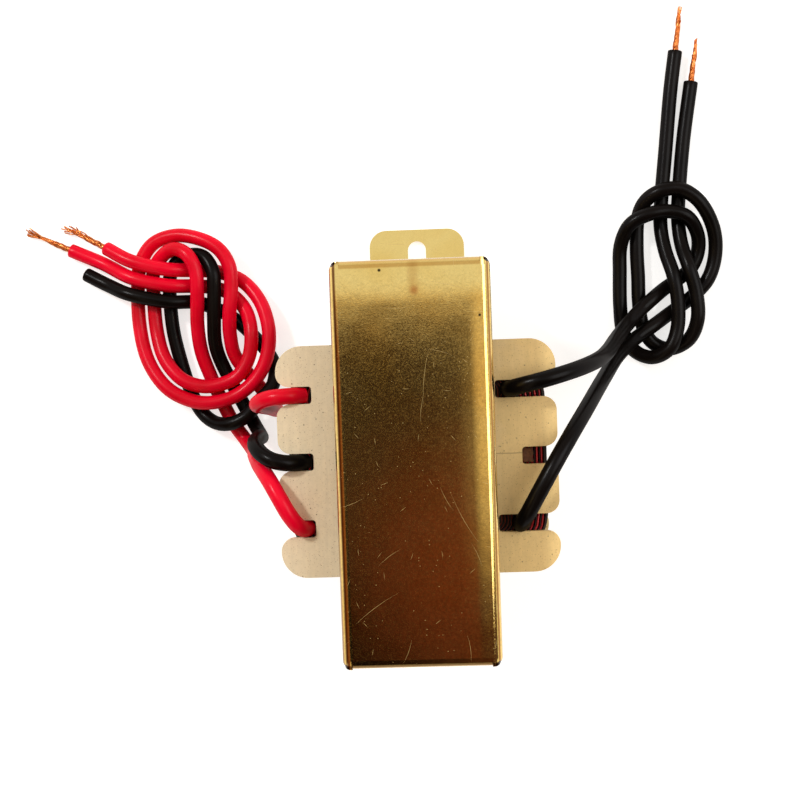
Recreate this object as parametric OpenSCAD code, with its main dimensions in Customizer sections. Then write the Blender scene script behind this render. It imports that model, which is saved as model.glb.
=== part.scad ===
// Small mains transformer: stacked E and I stampings round a wound bobbin,
// held in a folded steel channel frame with two slotted feet.
// Millimetres, +Z up, standing on Z = 0. The feet lie along Y and the coil shows along X.
// Five stranded leads come out of the top flange and are tied in two overhand knots.

/* [Core] */
// Width of the middle leg of an E stamping
tongue_w = 19; // [16:0.5:24]
// Thickness of the whole stack of stampings
stack_t = 21; // [16:0.5:28]
// Pitch of the stampings in the stack
sheet_pitch = 0.5; // [0.5:0.05:1]
// Insulating film between one stamping and the next
film_t = 0.02; // [0.01:0.01:0.05]
// Gap where the legs of an E meet the I beside them
butt_gap = 0.02; // [0.01:0.01:0.1]

/* [Frame] */
// Thickness of the sheet steel
frame_t = 1; // [0.8:0.1:1.5]
// Inside radius of every fold
fold_r = 0.4; // [0.2:0.1:0.8]
// Clearance between the core's corners and the folds
core_clear = 0.04; // [0.02:0.01:0.2]
// Depth of the lips folded over the faces of the core, measured outside
lip_depth = 4.5; // [3.5:0.5:8]
// Gap left at each corner between the lips of the top and of the legs
corner_relief = 0.6; // [0.3:0.1:2]
// Gap at each corner between the inside of a lip of the top and the fold at the top's end
corner_slit = 0.2; // [0.15:0.05:0.25]
// How far a lip's fold laps over the fold at the top's end
corner_lap = 0.3; // [0.3:0.05:0.4]
// How far the lips of the top stop short of the frame's ends
lip_set_back = 0.1; // [0.1:0.1:0.6]
// Set-back of the web between top and leg, and of the tabs, from the lips' folds
fold_relief = 0.3; // [0.2:0.1:0.6]
// How far the crimped tabs reach under the core, past their fold
tab_reach = 2.4; // [1:0.2:5]

/* [Feet] */
// Width of a foot
foot_w = 16.8; // [12:0.2:18]
// Length of a foot, from the outside of the leg
foot_l = 8.3; // [8:0.1:14]
// Radius of a foot's outer corners
foot_corner_r = 3; // [1:0.5:5]
// Height at which a leg narrows to the foot
foot_neck = 3.2; // [2.6:0.2:6]
// Width of a mounting slot
slot_w = 3.2; // [2.2:0.1:3.6]
// Length of a mounting slot from end to end
slot_l = 4.8; // [3.8:0.1:5.6]
// Distance from the outside of the leg to the middle of the slot
slot_out = 3.84; // [3.7:0.02:5]

/* [Bobbin] */
// Wall of the tube
tube_wall = 1; // [0.6:0.1:1.4]
// Clearance between the tube and the tongue
tube_clear = 0.2; // [0.1:0.05:0.4]
// Outside corner radius of the tube
tube_corner_r = 0.8; // [0.4:0.1:1]
// Thickness of a flange
flange_t = 1.2; // [0.8:0.1:1.6]
// Clearance between the flanges' edges and the outer legs of the core
flange_clear = 1.3; // [0.5:0.1:1.4]
// How far the flanges reach past the stack on either side
flange_reach = 10.75; // [10.5:0.25:13]
// Clearance of the bobbin at either end of the core's window
end_clear = 0.2; // [0.1:0.05:0.4]
// Radius of the flanges' outer corners
flange_corner_r = 4; // [2:0.5:6]
// Radius at the mouths of the lead slots
mouth_r = 2; // [1:0.25:3]
// Distance from one lead slot to the next
lead_slot_pitch = 10.2; // [9.6:0.1:10.6]
// Depth of the short lead slots
lead_slot_depth = 5.4; // [5.2:0.1:6]
// Wall left between the deep lead slots and the tube
deep_slot_wall = 0.3; // [0.1:0.05:0.4]
// Radius at the inner corners of the lead slots
slot_corner_r = 0.5; // [0.2:0.1:0.8]
// Clearance of a lead in its slot, on the width
lead_slot_clear = 0.15; // [0.1:0.05:0.4]

/* [Coil] */
// Build of the primary winding inside the core's window
primary_build = 2.8; // [2:0.1:3]
// Build of the secondary winding inside the core's window
secondary_build = 2.8; // [2:0.1:3]
// Extra build of each winding where it bulges outside the core
bulge = 0.8; // [0.4:0.1:0.9]
// Thickness of the insulation between the windings
insulation_t = 0.3; // [0.2:0.05:0.4]
// Thickness of the tape round the finished coil
wrap_t = 0.5; // [0.3:0.05:0.6]
// Clearance between one layer of the coil and the next
layer_clear = 0.03; // [0.02:0.01:0.06]

/* [Leads] */
// Outside diameter of a lead's insulation
lead_d = 2.5; // [1.8:0.1:2.5]
// Diameter of the twisted strands where they leave the insulation
strand_d = 1.3; // [0.8:0.1:1.6]
// Diameter of the strands at their tips
strand_tip_d = 0.4; // [0.2:0.1:0.6]
// Bare length on the secondary's leads
secondary_strip = 9.5; // [4:0.5:10]
// Bare length on the primary's leads
primary_strip = 7.5; // [4:0.5:10]

/* [Hidden] */
$fn = 48;
GOLD = "#b8963f";
STEEL = "#5c5a58";
CREAM = "#e2d6bd";
ENAMEL = "#7a1f1c";
COPPER_ENAMEL = "#8c4a24";
PAPER = "#b08a58";
TAPE = "#2a2422";
RED = "#d8122e";
BLACK = "#1d1d1f";
COPPER = "#c8763a";

// Core, from the tongue's width by the usual scrapless proportions
yoke = tongue_w / 2;
window_w = tongue_w / 2;
window_h = tongue_w * 1.5;
core_l = tongue_w * 3;
core_h = window_h + 2 * yoke;
sheet_n = floor(stack_t / sheet_pitch + 0.001);
sheet_t = sheet_pitch - film_t;

// Frame, from the core. A square edge stays 0.3 of a fold's radius out of its corner.
fold_out = fold_r + frame_t;
core_gap = core_clear + 0.3 * fold_r;
frame_w = stack_t + 2 * (core_gap + frame_t);
frame_l = core_l + 2 * (core_gap + frame_t);
core_z = frame_t + core_gap;
frame_h = core_z + core_h + core_gap + frame_t;
slot_y = frame_l / 2 + slot_out;

// Bobbin
tube_x = stack_t + 2 * (tube_clear + tube_wall);
tube_y = tongue_w + 2 * (tube_clear + tube_wall);
flange_x = stack_t + 2 * flange_reach;
flange_y = 2 * (tongue_w - flange_clear);
bobbin_z = core_z + yoke + end_clear;
bobbin_h = window_h - 2 * end_clear;
coil_z = bobbin_z + flange_t;
coil_h = bobbin_h - 2 * flange_t;
lead_slot_w = lead_d + lead_slot_clear;

// Coil layers, each as [size along X, size along Y, corner radius] of its outside
tube_out = [tube_x, tube_y, tube_corner_r];
primary_out = grown(tube_out, primary_build, bulge);
insulation_out = grown(primary_out, insulation_t, 0);
secondary_out = grown(insulation_out, secondary_build, bulge);
wrap_out = grown(secondary_out, wrap_t, 0);

// Routes of the leads' centre lines, from the coil to the cut end of the insulation.
// Each rises from its slot, arches over the flange, drops to the surface and is knotted there.
secondary_top_route = [
    [-17.2, 10.2, 37.8], [-18.7, 10.2, 39], [-20.5, 10.1, 39.4], [-22.3, 9.9, 39], [-23.7, 9.5, 37.9],
    [-24.5, 9.1, 36.2], [-24.9, 8.7, 32.5], [-25.2, 7.8, 19], [-25.4, 7.1, 9.8], [-25.6, 6.9, 6.3],
    [-26, 7.3, 3.4], [-27.1, 8.6, 1.7], [-28.8, 10.7, 1.3], [-32.9, 16, 1.5], [-33.7, 20, 2.9],
    [-33.5, 24, 4.3], [-33, 28.5, 4.4], [-33.2, 32.6, 4.5], [-35.2, 35.8, 4.2], [-38.8, 37.7, 3.5],
    [-43, 38.4, 2.5], [-47.1, 37.2, 1.7], [-49.6, 33.8, 1.4], [-50.3, 29.3, 1.3], [-50.2, 22.5, 1.5],
    [-48.7, 16.3, 2.6], [-45.4, 11.5, 3.9], [-41.1, 9, 4.3], [-36.8, 8.5, 4.4], [-32.4, 9.8, 4.3],
    [-28.9, 12.8, 4.3], [-27, 16.8, 4.2], [-26.7, 21.4, 3.8], [-28.2, 26.2, 2.8], [-31.5, 30, 1.5],
    [-36, 31.8, 1.4], [-40, 32.1, 2.6], [-44.6, 32.4, 4.5], [-50.6, 34, 4.4], [-55.4, 36.6, 2.9]];
centre_tap_route = [
    [-17.2, 0, 37.8], [-18.4, 0, 39.3], [-20.2, 0.1, 40.2], [-22.1, 0.6, 40.3], [-23.7, 1.5, 39.4],
    [-24.7, 2.4, 37.8], [-25.2, 3, 35.4], [-25.6, 3.3, 30], [-26.8, 3, 18], [-27.9, 2.3, 9.5],
    [-28.6, 2.3, 4.7], [-30, 4, 1.8], [-31.7, 7.2, 1.3], [-35.4, 14.8, 1.5], [-36.5, 19, 2.6],
    [-36.3, 23.5, 4.1], [-36, 28.5, 4.6], [-36.1, 31.6, 4.6], [-37.6, 34.2, 3.8], [-40, 34.9, 2.5],
    [-42.6, 34.2, 1.6], [-44.3, 31.6, 1.3], [-44.6, 28, 1.3], [-44.2, 21.5, 1.3], [-42.9, 15.4, 1.3],
    [-41.4, 10.4, 1.3], [-39.7, 6.9, 1.4], [-37.2, 4.9, 2.6], [-34.2, 4.6, 4.2], [-31.2, 5.8, 4.6],
    [-28.9, 8.3, 4.7], [-26.3, 11.3, 3.6], [-26.3, 15.2, 1.6], [-29.2, 19.4, 1.3], [-33.6, 23.6, 1.3],
    [-39.2, 26.3, 2], [-44.4, 26.6, 4.1], [-51, 28.1, 4.2], [-55.4, 30, 2.2], [-59.6, 32.2, 1.3]];
secondary_bottom_route = [
    [-17.2, -10.2, 37.8], [-17.7, -10.1, 39.4], [-18.5, -9.3, 40.9], [-19.7, -7.4, 41.8], [-21, -5, 41.7],
    [-22.5, -2.6, 40.4], [-23.9, -1.1, 37.6], [-25.2, -0.3, 33], [-27.6, 0, 20], [-29.2, -0.3, 9.5],
    [-30.2, -0.2, 4.4], [-31.9, 1.6, 1.7], [-34, 4.6, 1.3], [-36, 8.8, 1.3], [-37.7, 13, 1.4],
    [-39.1, 17.6, 2.2], [-39.3, 22.5, 4], [-38.9, 28, 5.2], [-39, 31.8, 5.5], [-40.4, 34.7, 5.4],
    [-43, 35.9, 4.1], [-45.7, 34.6, 2.4], [-47.4, 31.9, 1.4], [-47.5, 28, 1.3], [-47.2, 22, 1.5],
    [-45.8, 16.9, 2.8], [-43, 13.2, 3.9], [-39.7, 11.6, 4.3], [-36.4, 11.5, 4.4], [-32.6, 12.9, 4.4],
    [-30.3, 16.4, 4.3], [-29.8, 20.8, 4], [-30.8, 24.6, 2.6], [-33.4, 27.6, 1.4], [-36.5, 28.9, 1.5],
    [-39.5, 29.3, 2.2], [-44.4, 29.5, 4.1], [-50.6, 31, 4.1], [-56, 33.8, 2], [-62.2, 36.6, 1.3]];
primary_top_route = [
    [14, 10.2, 37.8], [14.2, 10.2, 39.8], [15.4, 10.6, 42], [18.4, 11.3, 43.2], [22, 12.2, 42.4],
    [25.6, 13.2, 39.2], [28.5, 14.2, 33.5], [30.8, 15.4, 25], [33, 17, 15.5], [35.6, 19.2, 8.2],
    [38.6, 22, 4.7], [41, 24, 3.6], [43.3, 25.7, 1.8], [45.6, 27.2, 1.3], [48.2, 29.2, 1.3],
    [49.6, 32.2, 1.4], [49.4, 35.4, 2.3], [47.4, 38.2, 4], [44, 39.2, 4.3], [40.5, 38.7, 4.6],
    [37.4, 37, 3.8], [36, 33.6, 1.9], [35.8, 29, 1.3], [35.7, 23, 1.3], [36.1, 18.4, 1.3],
    [37.8, 15.2, 1.6], [40.8, 13.8, 2.8], [43.7, 15.2, 4.2], [45.2, 18.8, 4.3], [45.4, 23.5, 4.3],
    [44.8, 28, 4], [43.7, 32.5, 2.4], [43.2, 37, 1.3], [43.5, 42, 1.3], [44.4, 50, 1.3],
    [45.5, 60, 1.3], [46.6, 67.5, 1.3]];
primary_bottom_route = [
    [15.2, -10.2, 37.8], [15.3, -10.2, 39.8], [16.2, -8.5, 42.2], [18.2, -4.8, 43.4], [20.8, -0.4, 43],
    [23.4, 3.4, 40.5], [26, 6.6, 35.5], [28.6, 9.4, 28], [31.2, 11.8, 19], [34, 14.4, 10.5],
    [37.4, 17, 5.4], [40.8, 19.2, 4], [44.2, 21.4, 1.9], [48, 24, 1.3], [51.2, 27.2, 1.3],
    [52.6, 31.6, 1.5], [52.2, 36.2, 2.4], [49.8, 40.6, 3.8], [46.4, 43, 4.1], [43, 42.8, 4.1],
    [40.4, 41.2, 2.9], [39.2, 38.2, 1.4], [38.9, 33, 1.3], [39, 28, 1.3], [39, 24, 1.3],
    [39.4, 20, 1.3], [41, 16.6, 1.3], [44.2, 15.2, 1.4], [47.4, 16.8, 2.9], [48.8, 20.4, 4.1],
    [48.6, 25, 4.2], [47.5, 29.5, 3.9], [46.6, 33.5, 2.3], [46.3, 38, 1.3], [46.6, 43, 1.3],
    [47.6, 52, 1.3], [49.2, 62, 1.3]];

// One coil layer's outside from the one below it
function grown(inner, build, extra) =
    [inner.x + 2 * (build + extra), inner.y + 2 * build, inner.z + build + extra];

// Sweep along a route: tangents, then a normal carried from ring to ring without twist
function unit(v) = v / norm(v);
function tangents(p) = [
    for (i = [0 : len(p) - 1])
        unit(p[min(i + 1, len(p) - 1)] - p[max(i - 1, 0)])];
function square_to(n, t) = unit(n - (n * t) * t);
function normals(t, i = 0, last = [0, 1, 0]) =
    i == len(t) ? [] :
    let (n = square_to(last, t[i]))
    concat([n], normals(t, i + 1, n));
function ring(c, t, n, r, sides) = [
    for (k = [0 : sides - 1])
        let (a = 360 * k / sides)
        c + r * (cos(a) * n + sin(a) * cross(t, n))];

module tube_along(route, d, sides = 8) {
    t = concat([[0, 0, 1]], [for (i = [1 : len(route) - 1]) tangents(route)[i]]);
    n = normals(t);
    last = (len(route) - 1) * sides;
    points = [for (i = [0 : len(route) - 1]) each ring(route[i], t[i], n[i], d / 2, sides)];
    walls = [
        for (i = [0 : len(route) - 2], k = [0 : sides - 1])
            let (a = i * sides + k, b = i * sides + (k + 1) % sides)
            each [[a, a + sides, b + sides], [a, b + sides, b]]];
    start_cap = [[for (k = [0 : sides - 1]) k]];
    end_cap = [[for (k = [sides - 1 : -1 : 0]) last + k]];
    polyhedron(points, concat(walls, start_cap, end_cap), convexity = 10);
}

// Bare twisted strands that carry on from the end of a lead
module strands_after(route, length) {
    end = route[len(route) - 1];
    v = unit(end - route[len(route) - 2]);
    translate(end)
        rotate([0, acos(v.z), atan2(v.y, v.x)])
            cylinder(h = length, d1 = strand_d, d2 = strand_tip_d);
}

module rounded_rect(size) {
    r = size.z;
    square([size.x - 2 * r, size.y], center = true);
    square([size.x, size.y - 2 * r], center = true);
    for (sx = [-1, 1], sy = [-1, 1])
        translate([sx * (size.x / 2 - r), sy * (size.y / 2 - r)])
            circle(r);
}

// Block with its two upper corners rounded, standing on the X axis
module arch(w, h, r) {
    translate([-w / 2, 0])
        square([w, h - r]);
    translate([-w / 2 + r, 0])
        square([w - 2 * r, h]);
    for (s = [-1, 1])
        translate([s * (w / 2 - r), h - r])
            circle(r);
}

// Sheet folded down along both edges, seen from its end
module channel_section(w, h) {
    difference() {
        arch(w, h, fold_out);
        translate([0, -1])
            arch(w - 2 * frame_t, h - frame_t + 1, fold_r);
    }
}

// Block with its inner lower corner rounded, in the corner of the axes
module corner_block(w, h, r) {
    translate([r, 0])
        square([w - r, h]);
    translate([0, r])
        square([w, h - r]);
    translate([r, r])
        circle(r);
}

module across_x(w) {
    rotate([90, 0, 90])
        linear_extrude(w, center = true)
            children();
}

module along_y(l) {
    rotate([90, 0, 0])
        linear_extrude(l, center = true)
            children();
}

// Lower end of a leg with the fold out into the foot, seen along X
module foot_section() {
    translate([frame_l / 2 - frame_t, 0])
        difference() {
            corner_block(foot_l + frame_t, foot_neck + frame_t, fold_out);
            translate([frame_t, frame_t])
                corner_block(foot_l + 1, foot_neck + 1, fold_r);
        }
}

module foot_outline() {
    r = foot_corner_r;
    inner = frame_l / 2 - frame_t;
    outer = frame_l / 2 + foot_l;
    translate([-foot_w / 2, inner])
        square([foot_w, outer - r - inner]);
    translate([-foot_w / 2 + r, outer - 2 * r])
        square([foot_w - 2 * r, 2 * r]);
    for (s = [-1, 1])
        translate([s * (foot_w / 2 - r), outer - r])
            circle(r);
}

module foot() {
    reach = slot_l / 2 - slot_w / 2;
    difference() {
        intersection() {
            across_x(foot_w)
                foot_section();
            linear_extrude(foot_neck + frame_t)
                foot_outline();
        }
        translate([0, slot_y, -1]) {
            for (s = [-1, 1])
                translate([0, s * reach, 0])
                    cylinder(h = frame_t + 2, d = slot_w);
            translate([-slot_w / 2, -reach, 0])
                cube([slot_w, 2 * reach, frame_t + 2]);
        }
    }
}

// Top with its ends and lips folded down: at the corners the lips' folds lap over the end folds
module top() {
    end_w = frame_w - 2 * (frame_t + corner_slit);
    cut_l = fold_out + corner_lap;
    across_x(end_w)
        translate([0, frame_h - lip_depth])
            channel_section(frame_l, lip_depth);
    translate([0, 0, frame_h - lip_depth])
        difference() {
            along_y(frame_l - 2 * lip_set_back)
                channel_section(frame_w, lip_depth);
            for (s = [-1, 1])
                translate([0, s * frame_l / 2, lip_depth / 2])
                    cube([end_w - 2 * corner_lap, 2 * cut_l, lip_depth + 2], center = true);
        }
}

// Leg with its two lips, from the web under the top down to where it narrows to the foot
module leg() {
    web_w = frame_w - 2 * (fold_out + fold_relief);
    lip_top = frame_h - lip_depth - corner_relief;
    translate([0, frame_l / 2 - lip_depth, foot_neck])
        linear_extrude(lip_top - foot_neck)
            channel_section(frame_w, lip_depth);
    translate([-web_w / 2, frame_l / 2 - frame_t, lip_top - frame_t])
        cube([web_w, frame_t, corner_relief + 2 * frame_t]);
}

// The lips' lower ends, crimped in under the core
module tabs() {
    wide = frame_w - 2 * (fold_out + tab_reach);
    tab_h = foot_neck + frame_t;
    tab_w = lip_depth - fold_out - fold_relief;
    translate([0, frame_l / 2 - lip_depth + tab_w / 2, 0])
        along_y(tab_w)
            difference() {
                translate([0, tab_h])
                    mirror([0, 1])
                        channel_section(frame_w, tab_h);
                translate([-wide / 2, -1])
                    square([wide, frame_t + 2]);
            }
}

module channel_frame() {
    color(GOLD)
    union() {
        top();
        for (s = [0, 1])
            mirror([0, s, 0]) {
                leg();
                foot();
                tabs();
            }
    }
}

// An E with its back at the top, drawn from the middle of the stack's lower edge
module e_outline() {
    leg_end = yoke + butt_gap;
    difference() {
        translate([-core_l / 2, leg_end])
            square([core_l, core_h - leg_end]);
        for (s = [-1, 1])
            translate([s * (tongue_w + window_w) / 2 - window_w / 2, leg_end - 1])
                square([window_w, yoke + window_h - leg_end + 1]);
    }
}

module i_outline() {
    translate([-core_l / 2, 0])
        square([core_l, yoke]);
}

// Sheets stacked along X, every other one turned over
module stacked() {
    for (i = [0 : sheet_n - 1])
        translate([(i - (sheet_n - 1) / 2) * sheet_pitch, 0, core_z + core_h / 2])
            mirror([0, 0, i % 2])
                translate([0, 0, -core_h / 2])
                    across_x(sheet_t)
                        children();
}

module e_laminations() {
    color(STEEL)
        stacked()
            e_outline();
}

module i_laminations() {
    color(STEEL)
        stacked()
            i_outline();
}

// Corner to take off a square edge so that it ends in a radius, at the origin of +X and +Y
module corner_cut(r) {
    difference() {
        square(r + 1);
        translate([r, r])
            circle(r);
        translate([r, -1])
            square([2, r + 3]);
        translate([-1, r])
            square([r + 3, 2]);
    }
}

// A lead slot open at the flange's edge on +X, with rounded ends and mouths
module lead_slot(inner_x) {
    edge = flange_x / 2;
    r = slot_corner_r;
    translate([inner_x + r, -lead_slot_w / 2])
        square([edge - inner_x - r + 1, lead_slot_w]);
    translate([inner_x, -lead_slot_w / 2 + r])
        square([2 * r, lead_slot_w - 2 * r]);
    for (s = [-1, 1])
        translate([inner_x + r, s * (lead_slot_w / 2 - r)])
            circle(r);
    for (s = [0, 1])
        mirror([0, s])
            translate([edge, lead_slot_w / 2])
                rotate(90)
                    corner_cut(mouth_r);
}

module flange_outline() {
    short_x = flange_x / 2 - lead_slot_depth;
    deep_x = tube_x / 2 + deep_slot_wall;
    difference() {
        rounded_rect([flange_x, flange_y, flange_corner_r]);
        square([tube_x - 2 * tube_wall, tube_y - 2 * tube_wall], center = true);
        for (i = [-1 : 1]) {
            translate([0, i * lead_slot_pitch])
                mirror([1, 0])
                    lead_slot(short_x);
            translate([0, i * lead_slot_pitch])
                lead_slot(i == 0 ? short_x : deep_x);
        }
    }
}

module bobbin() {
    color(CREAM)
    union() {
        for (z = [bobbin_z, coil_z + coil_h])
            translate([0, 0, z])
                linear_extrude(flange_t)
                    flange_outline();
        translate([0, 0, bobbin_z])
            linear_extrude(bobbin_h)
                difference() {
                    rounded_rect(tube_out);
                    square([tube_x - 2 * tube_wall, tube_y - 2 * tube_wall], center = true);
                }
    }
}

// One layer of the coil: a ring between two outsides, the full height between the flanges
module coil_layer(inside, outside) {
    translate([0, 0, coil_z])
        linear_extrude(coil_h)
            difference() {
                rounded_rect(outside);
                rounded_rect([inside.x + 2 * layer_clear, inside.y + 2 * layer_clear,
                              inside.z + layer_clear]);
            }
}

module primary_winding() {
    color(COPPER_ENAMEL)
        coil_layer(tube_out, primary_out);
}

module winding_insulation() {
    color(PAPER)
        coil_layer(primary_out, insulation_out);
}

module secondary_winding() {
    color(ENAMEL)
        coil_layer(insulation_out, secondary_out);
}

module coil_wrap() {
    color(TAPE)
        coil_layer(secondary_out, wrap_out);
}

module secondary_lead_top() {
    color(RED)
        tube_along(secondary_top_route, lead_d);
}

module centre_tap_lead() {
    color(BLACK)
        tube_along(centre_tap_route, lead_d);
}

module secondary_lead_bottom() {
    color(RED)
        tube_along(secondary_bottom_route, lead_d);
}

module primary_lead_top() {
    color(BLACK)
        tube_along(primary_top_route, lead_d);
}

module primary_lead_bottom() {
    color(BLACK)
        tube_along(primary_bottom_route, lead_d);
}

module secondary_strands_top() {
    color(COPPER)
        strands_after(secondary_top_route, secondary_strip);
}

module secondary_strands_bottom() {
    color(COPPER)
        strands_after(secondary_bottom_route, secondary_strip);
}

module primary_strands_top() {
    color(COPPER)
        strands_after(primary_top_route, primary_strip);
}

module primary_strands_bottom() {
    color(COPPER)
        strands_after(primary_bottom_route, primary_strip);
}

channel_frame();
e_laminations();
i_laminations();
bobbin();
primary_winding();
winding_insulation();
secondary_winding();
coil_wrap();
secondary_lead_top();
centre_tap_lead();
secondary_lead_bottom();
primary_lead_top();
primary_lead_bottom();
secondary_strands_top();
secondary_strands_bottom();
primary_strands_top();
primary_strands_bottom();
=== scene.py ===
import math

import bmesh
import bpy
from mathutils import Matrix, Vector


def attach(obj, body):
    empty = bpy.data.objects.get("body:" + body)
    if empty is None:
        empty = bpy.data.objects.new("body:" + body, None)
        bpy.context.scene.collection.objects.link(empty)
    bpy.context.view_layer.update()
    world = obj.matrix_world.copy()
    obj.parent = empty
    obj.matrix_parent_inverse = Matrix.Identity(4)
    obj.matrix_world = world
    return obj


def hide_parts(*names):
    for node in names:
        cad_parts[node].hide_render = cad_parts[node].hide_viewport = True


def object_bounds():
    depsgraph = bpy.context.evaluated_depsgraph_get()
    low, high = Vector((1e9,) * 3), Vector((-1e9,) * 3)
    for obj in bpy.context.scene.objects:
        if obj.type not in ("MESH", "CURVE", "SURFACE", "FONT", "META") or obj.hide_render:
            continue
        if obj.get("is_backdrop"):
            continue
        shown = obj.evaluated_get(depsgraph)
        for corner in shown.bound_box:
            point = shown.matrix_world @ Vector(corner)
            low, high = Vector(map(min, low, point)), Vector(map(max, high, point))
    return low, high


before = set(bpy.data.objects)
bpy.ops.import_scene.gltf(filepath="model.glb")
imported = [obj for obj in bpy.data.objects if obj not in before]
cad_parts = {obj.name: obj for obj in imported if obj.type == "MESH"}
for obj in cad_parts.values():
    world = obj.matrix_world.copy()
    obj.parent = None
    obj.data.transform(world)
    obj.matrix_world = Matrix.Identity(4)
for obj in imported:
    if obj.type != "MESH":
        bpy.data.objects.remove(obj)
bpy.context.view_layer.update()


# ---- The view -------------------------------------------------------------------------------
# A hand-held camera a quarter of a metre above the part, almost straight over it and turned a
# little, so the near foot hides under the top plate and only the far foot shows.

camera_data = bpy.data.cameras.new("overhead_view")
camera_data.sensor_width = 36
camera_data.lens = 62.37
camera_data.clip_start = 0.01
camera = bpy.data.objects.new("overhead_view", camera_data)
camera.location = (0.0062, 0.0163, 0.2488)
camera.rotation_euler = [math.radians(a) for a in (-2.066, 2.271, -1.991)]
bpy.context.scene.collection.objects.link(camera)
bpy.context.scene.camera = camera


# ---- Bobbin ---------------------------------------------------------------------------------
# The former that carries the coil: two flanges with notches for the leads, on a square tube.
# One moulding in unpainted cream nylon, so its edges are slightly soft and its skin is satin.

MM = 0.001
ROOT = "root"


def linear(hex_colour):
    """An sRGB hex colour as linear RGBA."""
    parts = [int(hex_colour[i:i + 2], 16) / 255 for i in (1, 3, 5)]
    return [c / 12.92 if c < 0.04045 else ((c + 0.055) / 1.055) ** 2.4 for c in parts] + [1.0]


def add(tree, kind, inputs=(), ramp=(), **settings):
    """Adds a node, a shader's unless kind is a full name. inputs lists what its sockets get, or
    maps sockets to it: a value, a hex colour, an output, or a node for its first output in use.
    ramp lists a colour ramp's stops as (place, hex colour)."""
    made = tree.nodes.new(kind if "Node" in kind else "ShaderNode" + kind)
    for name, value in settings.items():
        setattr(made, name, value)
    for key, value in inputs.items() if isinstance(inputs, dict) else enumerate(inputs):
        if isinstance(value, bpy.types.Node):
            value = next(output for output in value.outputs if output.enabled)
        if isinstance(value, bpy.types.NodeSocket):
            tree.links.new(value, made.inputs[key])
        else:
            made.inputs[key].default_value = linear(value) if isinstance(value, str) else value
    if ramp:
        stops = made.color_ramp.elements
        while len(stops) < len(ramp):
            stops.new(1.0)
        for stop, (position, hex_colour) in zip(stops, ramp):
            stop.position, stop.color = position, linear(hex_colour)
    return made


def new_finish(name):
    """An empty material, its node tree and its Object coordinates in metres."""
    made = bpy.data.materials.new(name)
    made.use_nodes = True
    made.node_tree.nodes.clear()
    coordinates = add(made.node_tree, "TexCoord")
    return made, made.node_tree, coordinates.outputs["Object"]


def link_piece(name, mesh, material=None):
    """A new object at the origin that holds the mesh, with one material."""
    made = bpy.data.objects.new(name, mesh)
    bpy.context.scene.collection.objects.link(made)
    if material:
        mesh.materials.clear()
        mesh.materials.append(material)
    return made


def piece_from(shape, name, material, sharp_from=180):
    """A smooth piece from a bmesh, which it uses up. Edges over sharp_from degrees stay sharp."""
    mesh = bpy.data.meshes.new(name)
    shape.to_mesh(mesh)
    shape.free()
    mesh.shade_smooth()
    if sharp_from < 180:
        mesh.set_sharp_from_angle(angle=math.radians(sharp_from))
    return link_piece(name, mesh, material)


def softened_copy(node_name, piece_name, edge_radius, material, reshape=None):
    """A copy of a CAD node with its sharp edges rounded off, in place of the node. reshape, if
    any, first works on the copy."""
    shape = bmesh.new()
    shape.from_mesh(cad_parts[node_name].data)
    bmesh.ops.remove_doubles(shape, verts=shape.verts, dist=0.001 * MM)
    bmesh.ops.dissolve_limit(
        shape, angle_limit=math.radians(0.5), verts=shape.verts, edges=shape.edges)
    if reshape:
        reshape(shape)
    made = piece_from(shape, piece_name, material)
    bevel = made.modifiers.new("edge_radius", "BEVEL")
    bevel.width = edge_radius
    bevel.segments = 2
    bevel.limit_method = "ANGLE"
    bevel.angle_limit = math.radians(40)
    bevel.use_clamp_overlap = True
    weighted = made.modifiers.new("flat_faces", "WEIGHTED_NORMAL")
    weighted.keep_sharp = True
    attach(made, ROOT)
    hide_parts(node_name)
    return made


NOTCH_END = 15.85 * MM
KNIT_START, KNIT_END = 9 * MM, NOTCH_END + 0.1 * MM
KNIT_BOW, KNIT_HALF, KNIT_DEPTH = 0.9 * MM, 0.09 * MM, 0.5
nylon, tree, place = new_finish("satin_cream_nylon_moulding")
# Cream pigment mottled over about 12 mm, paler on one side and tan on the other, the tan partly
# yellowing and partly painted shade from the frame
mottle = add(tree, "TexNoise", {"Vector": place, "Scale": 85, "Detail": 3})
apart = add(tree, "SeparateXYZ", [place])
yellowing_and_painted_shade = add(tree, "Math", [apart.outputs["X"], 38, mottle], operation="MULTIPLY_ADD")
cream = add(
    tree, "ValToRGB", {"Fac": yellowing_and_painted_shade}, ramp=[(0.0, "#E2D1AE"), (0.4, "#DDC8A0"), (1.0, "#E5C583")])
# Fine grime of about 0.7 mm, and flow lines along Y from the moulding, drawn 0.5 mm apart so that
# they show
grime = add(tree, "TexNoise", {"Vector": place, "Scale": 1400, "Detail": 5, "Roughness": 0.65})
flow_place = add(tree, "Mapping", {"Vector": place, "Scale": (2000, 90, 2000)})
flow = add(tree, "TexNoise", {"Vector": flow_place, "Scale": 1, "Detail": 2})
dirty = add(tree, "Math", [grime, 0.26, 0.79], operation="MULTIPLY_ADD")
shade = add(tree, "Math", [flow, 0.16, dirty], operation="MULTIPLY_ADD")
speckled = add(tree, "VectorMath", {0: cream, "Scale": shade}, operation="SCALE")
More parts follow.
